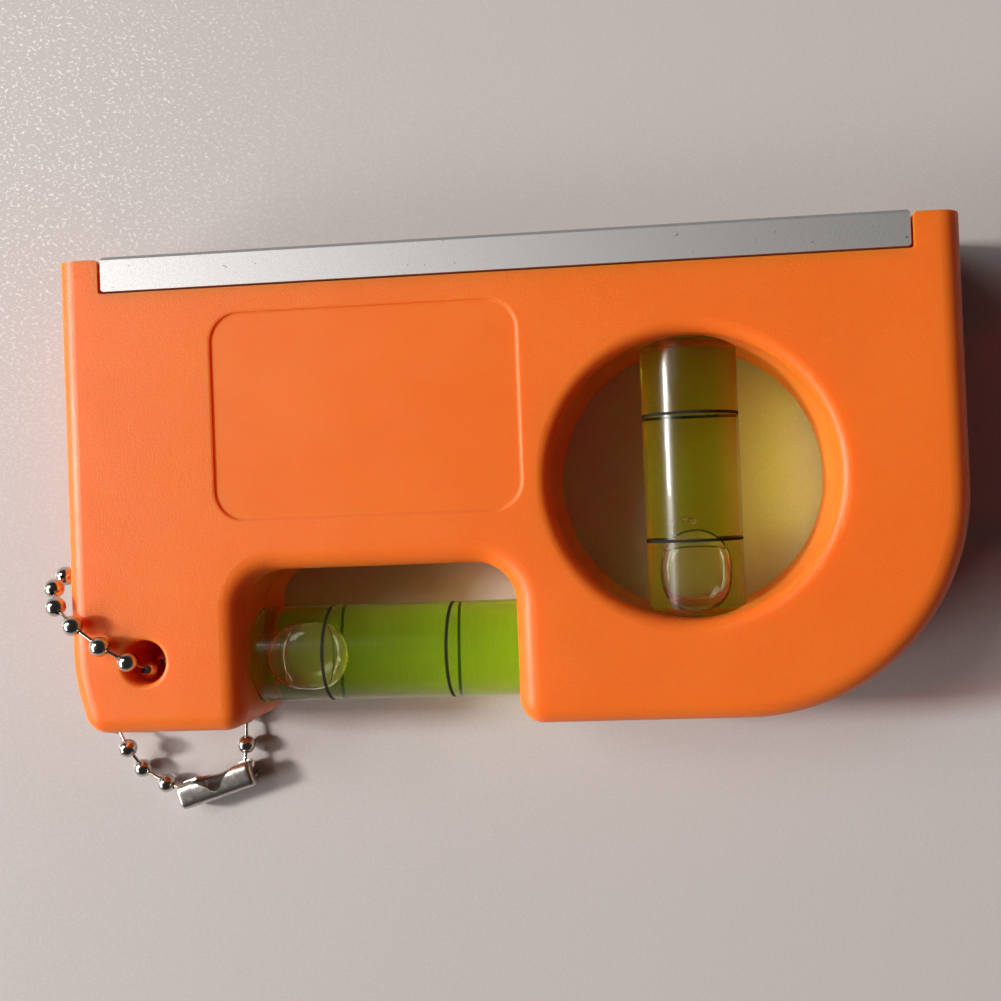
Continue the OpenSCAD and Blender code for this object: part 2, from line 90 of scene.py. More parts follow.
class NodeTree:
    """A node tree under construction, with short ways to add the nodes that the finishes share.

    Attributes:
        tree: The tree.
        output: Its output node.
        coordinates: Coordinates of a point, by their names.
    """

    def __init__(self, owner: bpy.types.ID, output: str = "ShaderNodeOutputMaterial") -> None:
        """Empties a tree and gives it an output.

        Args:
            owner: The material or world that the tree belongs to.
            output: Type of the tree's output node.
        """
        owner.use_nodes = True
        self.tree = owner.node_tree
        self.tree.nodes.clear()
        self.output = self.add(output)
        self.coordinates = self.add("ShaderNodeTexCoord").outputs

    def add(self, kind: str, values: dict[str | int, object] | None = None,
            **settings: object) -> bpy.types.Node:
        """Adds a node.

        Args:
            kind: Type of the node.
            values: What goes into its sockets: constants, or sockets to link from.
            **settings: Its properties.

        Returns:
            The new node.
        """
        node = self.tree.nodes.new(kind)
        for name, value in settings.items():
            setattr(node, name, value)
        for name, value in (values or {}).items():
            self.feed(node.inputs[name], value)
        return node

    def feed(self, socket: Socket, value: object) -> None:
        """Links a socket to another one, or sets its constant.

        Args:
            socket: The socket.
            value: A socket to link from, or the constant.
        """
        if isinstance(value, Socket):
            self.tree.links.new(value, socket)
        elif socket.type == "RGBA":
            socket.default_value = (*value, 1.0)
        else:
            socket.default_value = value

    def noise(self, size: float, detail: float, place: Socket | None = None) -> Socket:
        """Adds a noise texture.

        Args:
            size: Rough width of its features.
            detail: How many finer layers it has.
            place: Coordinates that it reads, or none for the object's own.

        Returns:
            The noise, from 0 to 1.
        """
        scale = 1 / (size * MM)
        values = {"Vector": place or self.coordinates["Object"], "Scale": scale, "Detail": detail}
        return self.add("ShaderNodeTexNoise", values).outputs["Fac"]

    def between(self, value: Socket, span: Range, ends: Range = (0.0, 1.0)) -> Socket:
        """Maps a value smoothly from one range to another.

        Args:
            value: The value.
            span: Where the change begins and ends. The result is held beyond.
            ends: The results there.

        Returns:
            The mapped value.
        """
        values = {"Value": value, "From Min": span[0], "From Max": span[1],
                  "To Min": ends[0], "To Max": ends[1]}
        return self.add("ShaderNodeMapRange", values, interpolation_type="SMOOTHSTEP").outputs["Result"]

    def scaled(self, value: Socket, factor: float) -> Socket:
        """Returns a value times a factor."""
        return self.add("ShaderNodeMath", {0: value, 1: factor}, operation="MULTIPLY").outputs[0]

    def vector(self, operation: str, first: Socket, second: Vector | Triple) -> Socket:
        """Returns the vector that a vector math node makes of two vectors."""
        return self.add("ShaderNodeVectorMath", {0: first, 1: second}, operation=operation).outputs[0]

    def colours(self, factor: Socket, first: Socket | Triple, second: Socket | Triple) -> Socket:
        """Returns first where factor is 0, second where it is 1, and a blend between."""
        return self.add("ShaderNodeMix", {0: factor, 6: first, 7: second}, data_type="RGBA").outputs[2]

    def bump(self, height: Socket, depth: float, strength: Socket | float = 1.0,
             normal: Socket | None = None) -> Socket:
        """Adds a relief.

        Args:
            height: Its height, from 0 to 1.
            depth: How deep it is.
            strength: How much of it shows.
            normal: Normal of a relief under it.

        Returns:
            The normal of the relief.
        """
        values = {"Height": height, "Distance": depth * MM, "Strength": strength}
        if normal is not None:
            values["Normal"] = normal
        return self.add("ShaderNodeBump", values).outputs["Normal"]

    def cloudy_glass(self, ior: float, share: float, colour: Triple) -> bpy.types.Node:
        """Adds clear glass that scatters a share of the light at its surface.

        Args:
            ior: Refractive index.
            share: Share of the light that is scattered.
            colour: Colour of the scattered light.

        Returns:
            The shader.
        """
        clear = self.add("ShaderNodeBsdfGlass", {"IOR": ior, "Roughness": 0.0})
        cloudy = self.add("ShaderNodeBsdfDiffuse", {"Color": colour})
        return self.add("ShaderNodeMixShader", {0: share, 1: clear.outputs[0], 2: cloudy.outputs[0]})

    def surface(self, shader: bpy.types.Node) -> None:
        """Makes a node's first output the surface."""
        self.feed(self.output.inputs["Surface"], shader.outputs[0])

    def see_through(self, shader: bpy.types.Node, passed: Triple) -> None:
        """Makes a shader the surface, and lets lamps shine straight through it.

        Args:
            shader: The shader.
            passed: Share of the lamps' light that the surface passes straight on.
        """
        shadow = self.add("ShaderNodeLightPath").outputs["Is Shadow Ray"]
        clear = self.add("ShaderNodeBsdfTransparent", {"Color": passed})
        values = {0: shadow, 1: shader.outputs[0], 2: clear.outputs[0]}
        self.surface(self.add("ShaderNodeMixShader", values))

    def absorb(self, density: float, colour: Triple) -> None:
        """Fills the inside with an absorbing volume."""
        volume = self.add("ShaderNodeVolumeAbsorption", {"Density": density, "Color": colour})
        self.feed(self.output.inputs["Volume"], volume.outputs[0])


@dataclass(frozen=True)
class Finish:
    """A finish of the level or of the table under it.

    Attributes:
        name: Name of its material.
    """

    name: str

    def material(self) -> bpy.types.Material:
        """Makes the material.

        Returns:
            The finished material.
        """
        material = bpy.data.materials.new(self.name)
        self.paint(NodeTree(material))
        return material

    def paint(self, tree: NodeTree) -> None:
        """Builds the material's nodes in its tree."""
        raise NotImplementedError


@dataclass(frozen=True)
class OrangePlastic(Finish):
    """Moulded orange plastic with a spark-eroded grain, and a smooth label recess in the front.

    Attributes:
        colour: Colour of most of the surface.
        pale: Colour that it drifts towards in patches.
        patch: Width of those patches.
        patch_span: Noise values at which a patch begins and is whole.
        passed: Share of the lamps' light that each face of a wall passes on.
        grain: Width of the grain's small dimples.
        coarse: Width of its large dimples.
        relief: Depth of the grain.
        grain_strength: Strength of the grain in the recess and outside it.
        grain_edge: Width of the change between the two.
        sheen: Width of the patches that differ in roughness.
        roughness: Least and most roughness.
        gloss: Strength of the gloss.
        soak: Share of the light that goes into the plastic and comes out near by.
        soak_reach: How far that light reaches in red, green and blue.
        recess_low: Corner of the recess with the lowest X and Y, at a height inside the front wall.
        recess_high: The corner opposite to it.
        recess_r: Rounding of the recess's corners.
        recess_edge: How far the recess's soft edge reaches to each side.
        recess_dip: Depth of that edge's slope.
    """

    name: str = "orange_plastic"
    colour: Triple = (0.8, 0.162, 0.015)
    pale: Triple = (0.82, 0.174, 0.017)
    patch: float = 11.0
    patch_span: Range = (0.35, 0.7)
    passed: Triple = (0.46, 0.09, 0.02)
    grain: float = 0.11
    coarse: float = 0.198
    relief: float = 0.018
    grain_strength: Range = (0.12, 0.9)
    grain_edge: float = 0.1
    sheen: float = 4.0
    roughness: Range = (0.36, 0.42)
    gloss: float = 0.3
    soak: float = 0.75
    soak_reach: Triple = (3.5, 0.7, 0.2)
    recess_low: Triple = (-28.7, -3.0, 14.0)
    recess_high: Triple = (2.0, 17.6, 14.9)
    recess_r: float = 3.0
    recess_edge: float = 0.3
    recess_dip: float = 0.13

    def from_recess(self, tree: NodeTree) -> Socket:
        """Measures how far a point is from the recess's inner outline.

        Args:
            tree: Tree of the material.

        Returns:
            The distance in metres. The recess's edge is at recess_r.
        """
        middle = (Vector(self.recess_low) + Vector(self.recess_high)) / 2
        straight = (Vector(self.recess_high) - Vector(self.recess_low)) / 2 - Vector((self.recess_r,) * 3)
        away = tree.vector("SUBTRACT", tree.coordinates["Object"], middle * MM)
        away = tree.add("ShaderNodeVectorMath", {0: away}, operation="ABSOLUTE").outputs[0]
        away = tree.vector("SUBTRACT", away, Vector((straight.x, straight.y, 0)) * MM)
        away = tree.vector("MAXIMUM", away, (0.0, 0.0, 0.0))
        return tree.add("ShaderNodeVectorMath", {0: away}, operation="LENGTH").outputs["Value"]

    def paint(self, tree: NodeTree) -> None:
        """Builds the material's nodes.

        Args:
            tree: The material's tree, with no shader yet.
        """
        away = self.from_recess(tree)
        slope = ((self.recess_r - self.recess_edge) * MM, (self.recess_r + self.recess_edge) * MM)
        rim = ((self.recess_r - self.grain_edge) * MM, self.recess_r * MM)
        patches = tree.between(tree.noise(self.patch, detail=3), self.patch_span)
        strength = tree.between(away, rim, self.grain_strength)
        normal = tree.bump(tree.between(away, slope), self.recess_dip)
        normal = tree.bump(tree.noise(self.coarse, detail=1), self.relief, strength, normal)
        normal = tree.bump(tree.noise(self.grain, detail=2), self.relief, strength, normal)
        shader = tree.add("ShaderNodeBsdfPrincipled", {
            "Base Color": tree.colours(patches, self.colour, self.pale),
            "Roughness": tree.between(tree.noise(self.sheen, detail=3), NOISE_SPAN, self.roughness),
            "Specular IOR Level": self.gloss,
            "Normal": normal,
            "Subsurface Weight": self.soak,
            "Subsurface Radius": self.soak_reach,
            "Subsurface Scale": MM,
        })
        tree.see_through(shader, self.passed)


@dataclass(frozen=True)
class SatinAluminium(Finish):
    """Extruded aluminium with a fine satin grain and scattered dark specks.

    Attributes:
        colour: Colour of the metal.
        shade: Colour that the grain drifts towards.
        shade_share: Most of that colour in the grain.
        speck: Colour of the specks.
        speck_w: Width of the noise that the specks come from.
        speck_span: Noise values at which a speck begins and is whole.
        grain: Width of the grain.
        relief: Depth of the grain.
        relief_strength: Strength of the grain.
        roughness: Least and most roughness.
    """

    name: str = "satin_aluminium"
    colour: Triple = (0.54, 0.53, 0.52)
    shade: Triple = (0.42, 0.41, 0.4)
    shade_share: float = 0.35
    speck: Triple = (0.25, 0.24, 0.23)
    speck_w: float = 0.5
    speck_span: Range = (0.74, 0.8)
    grain: float = 0.16
    relief: float = 0.01
    relief_strength: float = 0.8
    roughness: Range = (0.57, 0.65)

    def paint(self, tree: NodeTree) -> None:
        """Builds the material's nodes.

        Args:
            tree: The material's tree, with no shader yet.
        """
        grain = tree.noise(self.grain, detail=3)
        specks = tree.between(tree.noise(self.speck_w, detail=1), self.speck_span)
        cloud = tree.between(grain, NOISE_SPAN, (0.0, self.shade_share))
        base = tree.colours(cloud, self.colour, self.shade)
        tree.surface(tree.add("ShaderNodeBsdfPrincipled", {
            "Base Color": tree.colours(specks, base, self.speck),
            "Metallic": 1.0,
            "Roughness": tree.between(grain, NOISE_SPAN, self.roughness),
            "Normal": tree.bump(grain, self.relief, self.relief_strength),
        }))


@dataclass(frozen=True)
class RingInk(Finish):
    """Black ink in the vials' ring grooves.

    Attributes:
        colour: Colour where the ink is thick.
        thin: Colour where it is thin.
        flow: Width of the patches between the two.
        roughness: Least and most roughness.
        gloss: Strength of the gloss.
    """

    name: str = "ring_ink"
    colour: Triple = (0.012, 0.011, 0.009)
    thin: Triple = (0.022, 0.02, 0.016)
    flow: float = 0.4
    roughness: Range = (0.7, 0.85)
    gloss: float = 0.08

    def paint(self, tree: NodeTree) -> None:
        """Builds the material's nodes.

        Args:
            tree: The material's tree, with no shader yet.
        """
        flow = tree.noise(self.flow, detail=2)
        tree.surface(tree.add("ShaderNodeBsdfPrincipled", {
            "Base Color": tree.colours(flow, self.colour, self.thin),
            "Roughness": tree.between(flow, NOISE_SPAN, self.roughness),
            "Specular IOR Level": self.gloss,
        }))


@dataclass(frozen=True)
class BrightNickel(Finish):
    """Nickel-plated steel, slightly uneven and a little tarnished.

    Attributes:
        roughness: Roughness where the plate is brightest, and where it is dull.
        colour: Colour of the plate.
        tarnish: Colour that it has where it is dull.
        dull_w: Width of the dull patches.
        dull_span: Noise values at which a dull patch begins and is whole.
        dent: Width of the plate's unevenness.
        relief: Depth of the unevenness.
        relief_strength: Strength of the unevenness.
    """

    roughness: Range
    colour: Triple = (0.64, 0.6, 0.55)
    tarnish: Triple = (0.42, 0.37, 0.31)
    dull_w: float = 0.9
    dull_span: Range = (0.5, 0.75)
    dent: float = 0.6
    relief: float = 0.012
    relief_strength: float = 0.5

    def paint(self, tree: NodeTree) -> None:
        """Builds the material's nodes.

        Args:
            tree: The material's tree, with no shader yet.
        """
        dull = tree.between(tree.noise(self.dull_w, detail=3), self.dull_span)
        tree.surface(tree.add("ShaderNodeBsdfPrincipled", {
            "Base Color": tree.colours(dull, self.colour, self.tarnish),
            "Metallic": 1.0,
            "Roughness": tree.between(dull, (0.0, 1.0), self.roughness),
            "Normal": tree.bump(tree.noise(self.dent, detail=2), self.relief, self.relief_strength),
        }))


@dataclass(frozen=True)
class ClearAcrylic(Finish):
    """Clear moulded acrylic with faint flow marks.

    Attributes:
        ior: Refractive index.
        colour: Colour that light takes on in it.
        passed: Share of the lamps' light that its surface passes straight on.
        gleam: Tint that holds back its sharp reflections.
        coat: Strength of the soft reflections over them.
        coat_roughness: Roughness of the soft reflections.
        haze_w: Width of the hazy patches.
        haze_span: Noise values at which a hazy patch begins and is whole.
        haze: Most roughness.
        mark: Width of the flow marks.
        relief: Depth of the flow marks.
        relief_strength: Strength of the flow marks.
    """

    name: str = "clear_acrylic"
    ior: float = 1.49
    colour: Triple = (0.985, 0.99, 0.97)
    passed: Triple = (0.62, 0.62, 0.62)
    gleam: Triple = (0.12, 0.12, 0.12)
    coat: float = 0.3
    coat_roughness: float = 0.26
    haze_w: float = 1.5
    haze_span: Range = (0.45, 0.75)
    haze: float = 0.012
    mark: float = 3.5
    relief: float = 0.006
    relief_strength: float = 0.3

    def paint(self, tree: NodeTree) -> None:
        """Builds the material's nodes.

        Args:
            tree: The material's tree, with no shader yet.
        """
        shader = tree.add("ShaderNodeBsdfPrincipled", {
            "Base Color": self.colour,
            "Roughness": tree.between(tree.noise(self.haze_w, detail=3), self.haze_span, (0.0, self.haze)),
            "IOR": self.ior,
            "Transmission Weight": 1.0,
            "Specular Tint": self.gleam,
            "Coat Weight": self.coat,
            "Coat Roughness": self.coat_roughness,
            "Coat IOR": self.ior,
            "Normal": tree.bump(tree.noise(self.mark, detail=1), self.relief, self.relief_strength),
        })
        tree.see_through(shader, self.passed)


@dataclass(frozen=True)
class VialLiquid(Finish):
    """Yellow-green liquid. Its surface bends light as liquid against acrylic does.

    Attributes:
        passed: Share of the lamps' light that its surface passes straight on.
        glow: Share of the light that its dye scatters.
        ior: Refractive index against the acrylic round it.
        density: Strength of the absorption, for each metre.
        colour: What the absorption lets through.
        dye: Colour of the scattered light.
    """

    passed: Triple
    glow: float
    ior: float = 0.925
    density: float = 340.0
    colour: Triple = (0.85, 0.97, 0.02)
    dye: Triple = (0.33, 0.72, 0.02)

    def paint(self, tree: NodeTree) -> None:
        """Builds the material's nodes in its tree."""
        tree.see_through(tree.cloudy_glass(self.ior, self.glow, self.dye), self.passed)
        tree.absorb(self.density, self.colour)


@dataclass(frozen=True)
class BubbleAir(Finish):
    """Air in the liquid. Its volume gives back what the liquid's volume takes there.

    Attributes:
        liquid: The liquid round it.
        passed: Share of the lamps' light that its surface passes straight on.
        ior: Refractive index against the liquid.
        haze: Share of the light that its surface scatters.
        orange_reflection_tint: Colour of the scattered light, orange: painted reflected light from the
            orange body round the bubble, not a colour of the air.
    """

    liquid: VialLiquid
    passed: Triple = (0.5, 0.5, 0.5)
    ior: float = 0.74
    haze: float = 0.035
    # Orange tint: painted reflected light from the orange body, not a colour of the air.
    orange_reflection_tint: Triple = (0.85, 0.52, 0.3)

    def paint(self, tree: NodeTree) -> None:
        """Builds the material's nodes in its tree."""
        tree.see_through(tree.cloudy_glass(self.ior, self.haze, self.orange_reflection_tint), self.passed)
        # The volume takes 1 less its colour, so a colour above 1 gives light back
        tree.absorb(self.liquid.density, tuple(2 - channel for channel in self.liquid.colour))


@dataclass(frozen=True)
class PaleLaminate(Finish):
    """Pale table laminate with a fine grain that glitters near the light.

    Attributes:
        colour: Colour of most of the table.
        drift: Colour that it drifts towards in wide patches.
        patch: Width of those patches.
        fleck: Colour of the grain's flecks.
        fleck_share: Most of that colour in a fleck.
        fleck_span: Noise values at which a fleck begins and is whole.
        grain: Width of the grain.
        turn: How far the grain's noise is turned, in degrees.
        stretch: Width of a fleck as a share of its length, which lies along X.
        relief: Depth of the grain.
        relief_strength: Strength of the grain.
        roughness: Roughness between the flecks, and on them.
        gloss: Strength of the gloss between the flecks, and on them.
    """

    name: str = "pale_laminate"
    colour: Triple = (0.475, 0.432, 0.417)
    drift: Triple = (0.485, 0.442, 0.425)
    patch: float = 60.0
    fleck: Triple = (0.56, 0.52, 0.51)
    fleck_share: float = 0.4
    fleck_span: Range = (0.5, 0.72)
    grain: float = 0.3
    turn: float = 50.0
    stretch: float = 0.65
    relief: float = 0.018
    relief_strength: float = 0.6
    roughness: Range = (0.42, 0.26)
    gloss: Range = (0.22, 0.95)

    def paint(self, tree: NodeTree) -> None:
        """Builds the material's nodes.

        Args:
            tree: The material's tree, with no shader yet.
        """
        turned = tree.add("ShaderNodeMapping", {
            "Vector": tree.coordinates["Object"],
            "Rotation": (0.0, 0.0, math.radians(self.turn)),
            "Scale": (self.stretch, 1.0, 1.0),
        }).outputs["Vector"]
        grain = tree.noise(self.grain, detail=2, place=turned)
        flecks = tree.between(grain, self.fleck_span)
        cloud = tree.between(tree.noise(self.patch, detail=2), NOISE_SPAN)
        base = tree.colours(cloud, self.colour, self.drift)
        tree.surface(tree.add("ShaderNodeBsdfPrincipled", {
            "Base Color": tree.colours(tree.scaled(flecks, self.fleck_share), base, self.fleck),
            "Roughness": tree.between(flecks, (0.0, 1.0), self.roughness),
            "Specular IOR Level": tree.between(flecks, (0.0, 1.0), self.gloss),
            "Normal": tree.bump(grain, self.relief, self.relief_strength),
        }))


def quarter_round(end: float, radius: float, rounding: float, steps: int) -> Profile:
    """Works out the rounded edge at the end of a turned shape.

    Args:
        end: Where the shape ends along its axis.
        radius: Its radius.
        rounding: Radius of the edge.
        steps: Number of steps round the edge.

    Returns:
        Points as (place along the axis, radius), from the side to the end.
    """
    turns = [math.radians(90 * step / steps) for step in range(steps + 1)]
    return [(end - rounding * (1 - math.sin(turn)), radius - rounding * (1 - math.cos(turn)))
            for turn in turns]


def spun(profile: Profile, steps: int) -> bmesh.types.BMesh:
    """Spins a profile a full turn about Z.

    Args:
        profile: Points as (height, radius) in millimetres, from end to end.
        steps: Number of steps in the turn.

    Returns:
        The new mesh, in metres.
    """
    mesh = bmesh.new()
    points = [mesh.verts.new((radius * MM, 0, height * MM)) for height, radius in profile]
    lines = [mesh.edges.new(pair) for pair in zip(points, points[1:])]
    bmesh.ops.spin(mesh, geom=points + lines, axis=(0, 0, 1), cent=(0, 0, 0), angle=math.tau,
                   steps=steps, use_merge=True)
    bmesh.ops.remove_doubles(mesh, verts=mesh.verts, dist=MERGE)
    bmesh.ops.recalc_face_normals(mesh, faces=mesh.faces)
    return mesh


def add_piece(name: str, mesh: bmesh.types.BMesh, material: bpy.types.Material, body: Body,
              nodes: list[str] | None = None) -> bpy.types.Object:
    """Turns a mesh into a piece that rides on a body.

    Args:
        name: Name of the piece.
        mesh: Its mesh, which is freed.
        material: Its finish.
        body: The body that it moves with.
        nodes: CAD nodes that it stands for.

    Returns:
        The new object.
    """
    for face in mesh.faces:
        face.smooth = True
    for edge in mesh.edges:
        edge.smooth = edge.calc_face_angle(0.0) < CREASE
    data = bpy.data.meshes.new(name)
    mesh.to_mesh(data)
    mesh.free()
    data.materials.append(material)
    piece = bpy.data.objects.new(name, data)
    bpy.context.collection.objects.link(piece)
    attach(piece, body.value)
    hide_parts(*(nodes or []))
    LOG.info("%s: %d faces, on %s", name, len(data.polygons), body.value)
    return piece


@dataclass
class PhotoCamera:
    """The camera, where the photograph was taken from.

    Attributes:
        place: Its place.
        forward: Direction that it looks in.
        upward: Direction that is up in the picture.
        sensor: Width of its sensor.
        lens: Focal length for that sensor.
        shift: How far the photograph's frame lies off the lens's axis, in widths of the picture.
        nearest: Distance of the nearest thing that it sees.
    """

    place: Triple = (17.31, -3.154, 128.017)
    forward: Triple = (-0.08568605, 0.01414559, -0.99622176)
    upward: Triple = (0.0406243, 0.99911728, 0.01069257)
    sensor: float = 36.0
    lens: float = 42.447
    shift: tuple[float, float] = (-0.08, -0.00838)
    nearest: float = 5.0

    def build(self) -> None:
        """Builds the camera and makes it the scene's own."""
        camera = bpy.data.objects.new("photo_camera", bpy.data.cameras.new("photo_camera"))
        camera.data.lens = self.lens
        camera.data.sensor_width = self.sensor
        camera.data.clip_start = self.nearest * MM
        camera.data.shift_x, camera.data.shift_y = self.shift
        back, up = -Vector(self.forward), Vector(self.upward)
        turn = Matrix((up.cross(back), up, back)).transposed()
        camera.matrix_world = Matrix.Translation(Vector(self.place) * MM) @ turn.to_4x4()
        bpy.context.collection.objects.link(camera)
        bpy.context.scene.camera = camera


@dataclass
class SoftBox:
    """An area lamp that points at the level.

    Attributes:
        name: Its name.
        azimuth: Direction that it stands in, in degrees anticlockwise from X.
        elevation: Its height above the table, in degrees.
        distance: Its distance.
        width: Its width.
        height: Its height.
        watts: Its power.
        colour: Its tint.
    """

    name: str
    azimuth: float
    elevation: float
    distance: float
    width: float
    height: float
    watts: float
    colour: Triple = (1.0, 0.98, 0.97)

    def build(self) -> None:
        """Builds the lamp."""
        lamp = bpy.data.lights.new(self.name, "AREA")
        lamp.shape = "RECTANGLE"
        lamp.size, lamp.size_y = self.width * MM, self.height * MM
        lamp.energy, lamp.color = self.watts, self.colour
        turn, rise = math.radians(self.azimuth), math.radians(self.elevation)
        away = Vector((math.cos(turn) * math.cos(rise), math.sin(turn) * math.cos(rise), math.sin(rise)))
        holder = bpy.data.objects.new(self.name, lamp)
        holder.matrix_world = (Matrix.Translation(away * self.distance * MM)
                               @ away.to_track_quat("Z", "Y").to_matrix().to_4x4())
        bpy.context.collection.objects.link(holder)


@dataclass
class Studio:
    """The pale table, the soft light from the left and the dim room round it.

    Attributes:
        floor_size: Length of the table's sides.
        floor_cells: Number of faces along a side.
        floor_gap: How far the table lies below the level.
        ceiling: Light from above.
        near_wall: Light from the walls on the side of the lamps.
        far_wall: Light from the walls opposite.
        wall_span: X of the directions between which one wall turns into the other.
        top_span: Z of the directions between which the walls turn into the ceiling.
        lamps: The lamps.
    """

    floor_size: float = 6000.0
    floor_cells: int = 8
    floor_gap: float = 0.05
    ceiling: Triple = (0.028, 0.027, 0.028)
    near_wall: Triple = (0.4, 0.37, 0.36)
    far_wall: Triple = (0.1, 0.09, 0.088)
    wall_span: Range = (-0.5, 0.7)
    top_span: Range = (0.12, 0.3)
    lamps: list[SoftBox] = field(default_factory=lambda: [
        SoftBox("key", azimuth=175.5, elevation=32.0, distance=2200.0, width=260.0, height=300.0,
                watts=52.0, colour=(1.0, 0.975, 0.955)),
        SoftBox("halo", azimuth=207.0, elevation=30.0, distance=2200.0, width=900.0, height=550.0,
                watts=14.0),
        SoftBox("pane", azimuth=178.0, elevation=38.0, distance=1000.0, width=1000.0, height=130.0,
                watts=4.0),
        SoftBox("curtain", azimuth=147.0, elevation=53.0, distance=1000.0, width=380.0, height=200.0,
                watts=1.6),
    ])

    def build(self) -> None:
        """Builds the table, the lamps and the world."""
        mesh = bmesh.new()
        bmesh.ops.create_grid(mesh, x_segments=self.floor_cells, y_segments=self.floor_cells,
                              size=self.floor_size / 2 * MM,
                              matrix=Matrix.Translation((0, 0, -self.floor_gap * MM)))
        data = bpy.data.meshes.new("table")
        mesh.to_mesh(data)
        mesh.free()
        data.materials.append(PaleLaminate().material())
        table = bpy.data.objects.new("table", data)
        bpy.context.collection.objects.link(table)
        for lamp in self.lamps:
            lamp.build()
        self.build_world()

    def build_world(self) -> None:
        """Makes the room pale low down, most of all on the side of the light, and dim above."""
        world = bpy.data.worlds.new("room")
        tree = NodeTree(world, "ShaderNodeOutputWorld")
        direction = tree.add("ShaderNodeSeparateXYZ", {0: tree.coordinates["Generated"]}).outputs
        walls = tree.colours(tree.between(direction["X"], self.wall_span), self.near_wall, self.far_wall)
        colour = tree.colours(tree.between(direction["Z"], self.top_span), walls, self.ceiling)
        tree.surface(tree.add("ShaderNodeBackground", {"Color": colour}))
        bpy.context.scene.world = world


@dataclass
class BallChain:
    """The ball chain, from its connector round the foot, through the hole and back.

    Attributes:
        route: Middles of the balls in order. The first and the last sit in the connector.
        ball_r: Radius of the balls.
        ball_rows: Number of steps from one hole of a ball to the other.
        ball_steps: Number of steps round a ball.
        hole_r: Radius of the holes in a ball.
        lip_at: Place of a hole's turned-in lip along the ball's axis, as a share of the hole's.
        lip_r: Radius of that lip, as a share of the hole's.
        pin_r: Radius of the pins between the balls.
        pin_start: Distance of a pin's end from its ball's middle, as a share of the ball's radius.
        pin_waist: Radius of a pin's waist, as a share of its own.
        pin_steps: Number of steps round a pin.
        clasp_r: Half the connector's width.
        clasp_end: How far it reaches past the middles of its end balls.
        clasp_rounding: Rounding of its ends.
        clasp_rows: Number of steps along half of it.
        clasp_steps: Number of steps round it.
        end_hole: Radius of the holes in its ends, as a share of its own.
        sheet: Thickness of its metal.
        slit: Width of the slit along it.
        mouth: Length of the wide opening in its middle.
        mouth_power: Power that rounds that opening, less than 1.
        bite: How far the opening reaches up from the slit's middle, in degrees.
        under_bite: How far it reaches down from there, in degrees.
        squareness: Power that flattens the connector's round section, less than 1.
    """

    route: list[Triple] = field(default_factory=lambda: [
        (-37.6, -32.7, 1.7), (-40.85, -31.7, 1.3), (-43.6, -30, 1.1), (-44.55, -27.5, 2.6),
        (-46.3, -25.1, 1.5), (-47.3, -22.1, 1.1), (-48.1, -19, 1.1), (-48.6, -15.8, 1.1),
        (-48.9, -12.6, 1.3), (-48.75, -9.9, 3.1), (-48.1, -8.3, 6), (-47.4, -8.05, 9.3),
        (-46.9, -9.15, 12.5), (-45.5, -10.85, 14.9), (-43.1, -12.7, 16.2), (-40.45, -14.85, 16.1),
        (-37.9, -16.5, 15.6), (-37.1, -17.7, 12.7), (-36.7, -17, 9.5), (-36.6, -16.7, 6.2),
        (-36.5, -16.8, 3.1), (-35, -18.95, 1.2), (-33.3, -21.7, 1.1), (-31.6, -24.4, 1.1),
        (-31.6, -27.6, 1.3), (-31.9, -30.9, 1.7),
    ])
    ball_r: float = 1.0
    ball_rows: int = 16
    ball_steps: int = 24
    hole_r: float = 0.27
    lip_at: float = 0.86
    lip_r: float = 0.9
    pin_r: float = 0.2
    pin_start: float = 0.6
    pin_waist: float = 0.85
    pin_steps: int = 12
    clasp_r: float = 1.6
    clasp_end: float = 1.37
    clasp_rounding: float = 0.45
    clasp_rows: int = 12
    clasp_steps: int = 48
    end_hole: float = 0.35
    sheet: float = 0.25
    slit: float = 1.0
    mouth: float = 4.8
    mouth_power: float = 0.45
    bite: float = 105.0
    under_bite: float = 60.0
    squareness: float = 0.62

    def build(self) -> None:
        nickel = BrightNickel("bright_nickel", roughness=(0.16, 0.26)).material()
        rolled = BrightNickel("rolled_nickel", roughness=(0.27, 0.36)).material()
        nodes = [f"chain_ball_{number:02d}" for number in range(1, len(self.route) + 1)] + ["chain_pins"]
        links = add_piece("chain_links", self.links(), nickel, Body.LEVEL, nodes)
        clasp = add_piece("chain_clasp", self.clasp(), rolled, Body.LEVEL, ["chain_connector"])

    def links(self) -> bmesh.types.BMesh:
        """Strings the balls and pins along the route.

        Returns:
            All the balls and pins.
        """
        mesh = bmesh.new()
        points = [Vector(point) for point in self.route]
        for index, point in enumerate(points):
            before, after = points[max(index - 1, 0)], points[min(index + 1, len(points) - 1)]
            self.place(mesh, self.ball(), point, after - before)
        for start, end in zip(points, points[1:]):
            self.place(mesh, self.pin((end - start).length), start, end - start)
        return mesh

    @staticmethod
    def place(mesh: bmesh.types.BMesh, part: bmesh.types.BMesh, at: Vector, along: Vector) -> None:
        """Adds a part to a mesh.

        Args:
            mesh: The mesh that it goes into.
            part: The part, which is freed.
            at: Where its origin goes.
            along: Where its Z points.
        """
        turn = along.to_track_quat("Z", "Y").to_matrix().to_4x4()
        bmesh.ops.transform(part, matrix=Matrix.Translation(at * MM) @ turn, verts=part.verts)
        data = bpy.data.meshes.new("part")
        part.to_mesh(data)
        part.free()
        mesh.from_mesh(data)
        bpy.data.meshes.remove(data)

    def ball(self) -> bmesh.types.BMesh:
        """Makes a pressed ball.

        Returns:
            The ball, with its metal turned in at the two holes.
        """
        start = math.asin(self.hole_r / self.ball_r)
        rows = self.ball_rows
        angles = [start + (math.pi - 2 * start) * step / rows for step in range(rows + 1)]
        arc = [(self.ball_r * math.cos(angle), self.ball_r * math.sin(angle)) for angle in angles]
        lip = (self.lip_at * arc[0][0], self.lip_r * self.hole_r)
        return spun([lip, *arc, (-lip[0], lip[1])], self.ball_steps)

